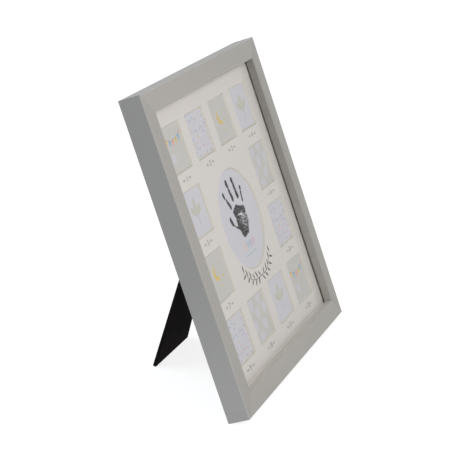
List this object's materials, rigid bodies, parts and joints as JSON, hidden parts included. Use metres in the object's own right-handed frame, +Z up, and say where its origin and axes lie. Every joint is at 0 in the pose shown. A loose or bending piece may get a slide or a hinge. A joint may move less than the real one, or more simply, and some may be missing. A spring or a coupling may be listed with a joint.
{
  "type": "photo frame",
  "caption": "Square grey multi-window photo frame with a handprint card in a round window, glass, mount, backing held by turn buttons, and a fold-out strut that leans it back.",
  "frame": {"origin": "on the ground, under the middle of the whole as it stands on its open strut", "axes": "+X to the viewer's right along the frame, +Y to the back, +Z up; the frame leans back 19.4 degrees"},
  "size_m": [0.35, 0.1569, 0.338],
  "materials": {
    "grey_paint": "satin grey paint on wood board",
    "glass": "clear polished",
    "mount_card": "matte off-white with a cream core",
    "print_card": "matte printed card",
    "filler_card": "plain brown board",
    "black_board": "black paper over fibre board",
    "hinge_steel": "black-blued steel",
    "zinc_steel": "zinc plated"
  },
  "bodies": {
    "frame": {"bottom_rail": "grey_paint", "right_rail": "grey_paint", "top_rail": "grey_paint", "left_rail": "grey_paint", "corner_nails": "zinc_steel", "button_screws": "zinc_steel", "glass_pane": "glass", "mount_board": "mount_card", "month_card_01": "print_card", "month_card_02": "print_card", "month_card_03": "print_card", "month_card_04": "print_card", "month_card_05": "print_card", "month_card_06": "print_card", "month_card_07": "print_card", "month_card_08": "print_card", "month_card_09": "print_card", "month_card_10": "print_card", "month_card_11": "print_card", "month_card_12": "print_card", "handprint_card": "print_card", "filler_board": "filler_card", "backing_board": "black_board", "backing_rivets": "hinge_steel", "fixed_leaf": "hinge_steel", "hinge_pin": "hinge_steel"},
    "strut": {"strut_leg": "black_board", "moving_leaf": "hinge_steel", "strut_rivets": "hinge_steel"},
    "button_bottom_1": {"turn_button_bottom_1": "zinc_steel"},
    "button_bottom_2": {"turn_button_bottom_2": "zinc_steel"},
    "button_right_1": {"turn_button_right_1": "zinc_steel"},
    "button_right_2": {"turn_button_right_2": "zinc_steel"},
    "button_top_1": {"turn_button_top_1": "zinc_steel"},
    "button_top_2": {"turn_button_top_2": "zinc_steel"},
    "button_left_1": {"turn_button_left_1": "zinc_steel"},
    "button_left_2": {"turn_button_left_2": "zinc_steel"}
  },
  "joints": [
    {"name": "strut_fold", "type": "hinge", "parent": "frame", "child": "strut", "pos_m": [0, 0.02001, 0.20509], "axis": [-1, 0, 0], "range_deg": [0, 35]},
    {"name": "button_bottom_1_turn", "type": "hinge", "parent": "frame", "child": "button_bottom_1", "pos_m": [-0.095, -0.05136, 0.01024], "axis": [0, 0.9432, -0.3322], "continuous": true},
    {"name": "button_bottom_2_turn", "type": "hinge", "parent": "frame", "child": "button_bottom_2", "pos_m": [0.095, -0.05136, 0.01024], "axis": [0, 0.9432, -0.3322], "continuous": true},
    {"name": "button_right_1_turn", "type": "hinge", "parent": "frame", "child": "button_right_1", "pos_m": [0.164, -0.02844, 0.07532], "axis": [0, 0.9432, -0.3322], "continuous": true},
    {"name": "button_right_2_turn", "type": "hinge", "parent": "frame", "child": "button_right_2", "pos_m": [0.164, 0.03467, 0.25453], "axis": [0, 0.9432, -0.3322], "continuous": true},
    {"name": "button_top_1_turn", "type": "hinge", "parent": "frame", "child": "button_top_1", "pos_m": [0.095, 0.05759, 0.31961], "axis": [0, 0.9432, -0.3322], "continuous": true},
    {"name": "button_top_2_turn", "type": "hinge", "parent": "frame", "child": "button_top_2", "pos_m": [-0.095, 0.05759, 0.31961], "axis": [0, 0.9432, -0.3322], "continuous": true},
    {"name": "button_left_1_turn", "type": "hinge", "parent": "frame", "child": "button_left_1", "pos_m": [-0.164, 0.03467, 0.25453], "axis": [0, 0.9432, -0.3322], "continuous": true},
    {"name": "button_left_2_turn", "type": "hinge", "parent": "frame", "child": "button_left_2", "pos_m": [-0.164, -0.02844, 0.07532], "axis": [0, 0.9432, -0.3322], "continuous": true}
  ]
}
